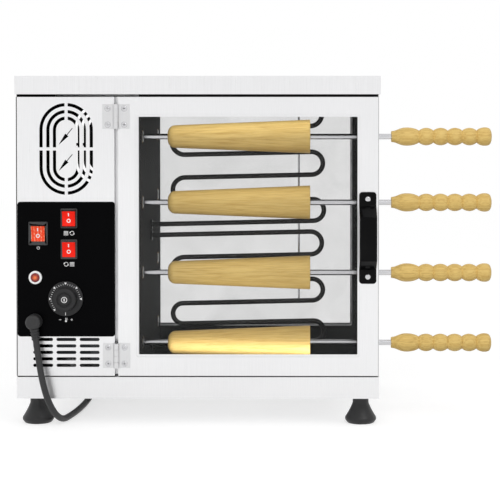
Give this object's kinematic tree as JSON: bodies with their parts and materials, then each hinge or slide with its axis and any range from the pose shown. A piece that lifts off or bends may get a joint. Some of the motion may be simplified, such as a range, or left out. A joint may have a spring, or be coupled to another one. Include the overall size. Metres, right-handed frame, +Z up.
{
  "type": "chimney cake grill",
  "caption": "Two-sided stainless grill that bakes dough on tapered wooden rolls, with glass doors, heating coils, a chain drive and a control panel.",
  "frame": {"origin": "on the floor under the middle of the grill with its grips", "axes": "+X along the rolls towards their grips, -Y out of the front door, +Z up"},
  "size_m": [0.7446, 0.459, 0.5431],
  "materials": {
    "stainless": "brushed stainless sheet",
    "liner_steel": "bright stainless, slightly heat toned",
    "bright_steel": "polished steel rod",
    "machined_steel": "oiled machined steel",
    "bronze": "plain bearing bronze",
    "heater_black": "matt black heater sheath",
    "black_plate": "satin black control plate",
    "bezel_black": "dark moulded plastic",
    "rocker_red": "translucent red plastic",
    "rocker_amber": "lit orange-red plastic",
    "lamp_ring": "white plastic ring",
    "lamp_lens": "red lens",
    "knob_black": "dark knob",
    "handle_black": "gloss black handle",
    "door_glass": "clear toughened glass",
    "beech": "oiled turned wood",
    "foot_rubber": "black rubber",
    "cord_rubber": "black rubber sheath",
    "motor_paint": "grey motor paint"
  },
  "bodies": {
    "cabinet": {"base_plinth": "stainless", "top_cover": "stainless", "left_side_panel": "stainless", "right_side_panel": "stainless", "front_control_panel": "stainless", "rear_service_panel": "stainless", "cavity_liner": "liner_steel", "adjustable_feet": "foot_rubber", "cabinet_screws": "bright_steel", "hinge_fixed_leaves": "stainless", "control_plate": "black_plate", "power_switch_housing": "bezel_black", "rotation_switch_housings": "bezel_black", "pilot_lamp_bezel": "lamp_ring", "pilot_lamp_lens": "lamp_lens", "thermostat_body": "machined_steel", "cable_gland": "cord_rubber", "upper_heating_element": "heater_black", "lower_heating_element": "heater_black", "heater_support_rod": "bright_steel", "gear_motors": "motor_paint", "drive_chains": "machined_steel", "spindle_bushes": "bronze", "power_cord_run": "cord_rubber", "power_cord_coil": "cord_rubber", "mains_plug": "cord_rubber"},
    "front_door": {"front_door_frame": "stainless", "front_door_glass": "door_glass", "front_door_handle": "handle_black", "front_door_hinge_leaves": "stainless"},
    "rear_door": {"rear_door_frame": "stainless", "rear_door_glass": "door_glass", "rear_door_handle": "handle_black", "rear_door_hinge_leaves": "stainless"},
    "tray": {"crumb_tray": "stainless"},
    "power_switch": {"power_rocker": "rocker_amber"},
    "left_rotation_switch": {"left_rotation_rocker": "rocker_red"},
    "right_rotation_switch": {"right_rotation_rocker": "rocker_red"},
    "thermostat_dial": {"thermostat_knob": "knob_black"},
    "front_drive_1": {"front_spindle_1": "machined_steel"},
    "rear_drive_1": {"rear_spindle_1": "machined_steel"},
    "roll_1": {"baking_roll_1": "beech", "roll_rod_1": "bright_steel", "roll_grip_1": "beech"},
    "front_drive_2": {"front_spindle_2": "machined_steel"},
    "rear_drive_2": {"rear_spindle_2": "machined_steel"},
    "roll_2": {"baking_roll_2": "beech", "roll_rod_2": "bright_steel", "roll_grip_2": "beech"},
    "front_drive_3": {"front_spindle_3": "machined_steel"},
    "rear_drive_3": {"rear_spindle_3": "machined_steel"},
    "roll_3": {"baking_roll_3": "beech", "roll_rod_3": "bright_steel", "roll_grip_3": "beech"},
    "front_drive_4": {"front_spindle_4": "machined_steel"},
    "rear_drive_4": {"rear_spindle_4": "machined_steel"},
    "roll_4": {"baking_roll_4": "beech", "roll_rod_4": "bright_steel", "roll_grip_4": "beech"}
  },
  "joints": [
    {"name": "front_door_swing", "type": "hinge", "parent": "cabinet", "child": "front_door", "pos_m": [-0.2154, -0.1945, 0.295], "axis": [0, 0, -1], "range_deg": [0, 120]},
    {"name": "rear_door_swing", "type": "hinge", "parent": "cabinet", "child": "rear_door", "pos_m": [-0.2154, 0.1945, 0.295], "axis": [0, 0, 1], "range_deg": [0, 120]},
    {"name": "crumb_tray_slide", "type": "slide", "parent": "cabinet", "child": "tray", "axis": [1, 0, 0], "range_m": [0, 0.33]},
    {"name": "power_switch_tilt", "type": "hinge", "parent": "cabinet", "child": "power_switch", "pos_m": [-0.3359, -0.1945, 0.2996], "axis": [-1, 0, 0], "range_deg": [0, 18]},
    {"name": "left_rotation_switch_tilt", "type": "hinge", "parent": "cabinet", "child": "left_rotation_switch", "pos_m": [-0.2883, -0.1945, 0.3229], "axis": [-1, 0, 0], "range_deg": [0, 18]},
    {"name": "right_rotation_switch_tilt", "type": "hinge", "parent": "cabinet", "child": "right_rotation_switch", "pos_m": [-0.2883, -0.1945, 0.2751], "axis": [-1, 0, 0], "range_deg": [0, 18]},
    {"name": "thermostat_turn", "type": "hinge", "parent": "cabinet", "child": "thermostat_dial", "pos_m": [-0.2934, -0.192, 0.1986], "axis": [0, 1, 0], "range_deg": [0, 270]},
    {"name": "front_drive_1_turn", "type": "hinge", "parent": "cabinet", "child": "front_drive_1", "pos_m": [-0.1803, -0.128, 0.4486], "axis": [1, 0, 0], "continuous": true},
    {"name": "front_drive_2_turn", "type": "hinge", "parent": "cabinet", "child": "front_drive_2", "pos_m": [-0.1803, -0.128, 0.3443], "axis": [1, 0, 0], "continuous": true},
    {"name": "front_drive_3_turn", "type": "hinge", "parent": "cabinet", "child": "front_drive_3", "pos_m": [-0.1803, -0.128, 0.233], "axis": [1, 0, 0], "continuous": true},
    {"name": "front_drive_4_turn", "type": "hinge", "parent": "cabinet", "child": "front_drive_4", "pos_m": [-0.1803, -0.128, 0.1217], "axis": [1, 0, 0], "continuous": true},
    {"name": "rear_drive_1_turn", "type": "hinge", "parent": "cabinet", "child": "rear_drive_1", "pos_m": [-0.1803, 0.128, 0.4486], "axis": [1, 0, 0], "continuous": true},
    {"name": "rear_drive_2_turn", "type": "hinge", "parent": "cabinet", "child": "rear_drive_2", "pos_m": [-0.1803, 0.128, 0.3443], "axis": [1, 0, 0], "continuous": true},
    {"name": "rear_drive_3_turn", "type": "hinge", "parent": "cabinet", "child": "rear_drive_3", "pos_m": [-0.1803, 0.128, 0.233], "axis": [1, 0, 0], "continuous": true},
    {"name": "rear_drive_4_turn", "type": "hinge", "parent": "cabinet", "child": "rear_drive_4", "pos_m": [-0.1803, 0.128, 0.1217], "axis": [1, 0, 0], "continuous": true},
    {"name": "roll_1_pull", "type": "slide", "parent": "front_drive_1", "child": "roll_1", "axis": [1, 0, 0], "range_m": [0, 0.025]},
    {"name": "roll_2_pull", "type": "slide", "parent": "front_drive_2", "child": "roll_2", "axis": [1, 0, 0], "range_m": [0, 0.025]},
    {"name": "roll_3_pull", "type": "slide", "parent": "front_drive_3", "child": "roll_3", "axis": [1, 0, 0], "range_m": [0, 0.025]},
    {"name": "roll_4_pull", "type": "slide", "parent": "front_drive_4", "child": "roll_4", "axis": [1, 0, 0], "range_m": [0, 0.025]}
  ],
  "couplings": [
    {"joint": "front_drive_1_turn", "follows": "front_drive_4_turn", "ratio": 1},
    {"joint": "front_drive_2_turn", "follows": "front_drive_4_turn", "ratio": 1},
    {"joint": "front_drive_3_turn", "follows": "front_drive_4_turn", "ratio": 1},
    {"joint": "rear_drive_1_turn", "follows": "rear_drive_4_turn", "ratio": 1},
    {"joint": "rear_drive_2_turn", "follows": "rear_drive_4_turn", "ratio": 1},
    {"joint": "rear_drive_3_turn", "follows": "rear_drive_4_turn", "ratio": 1}
  ]
}
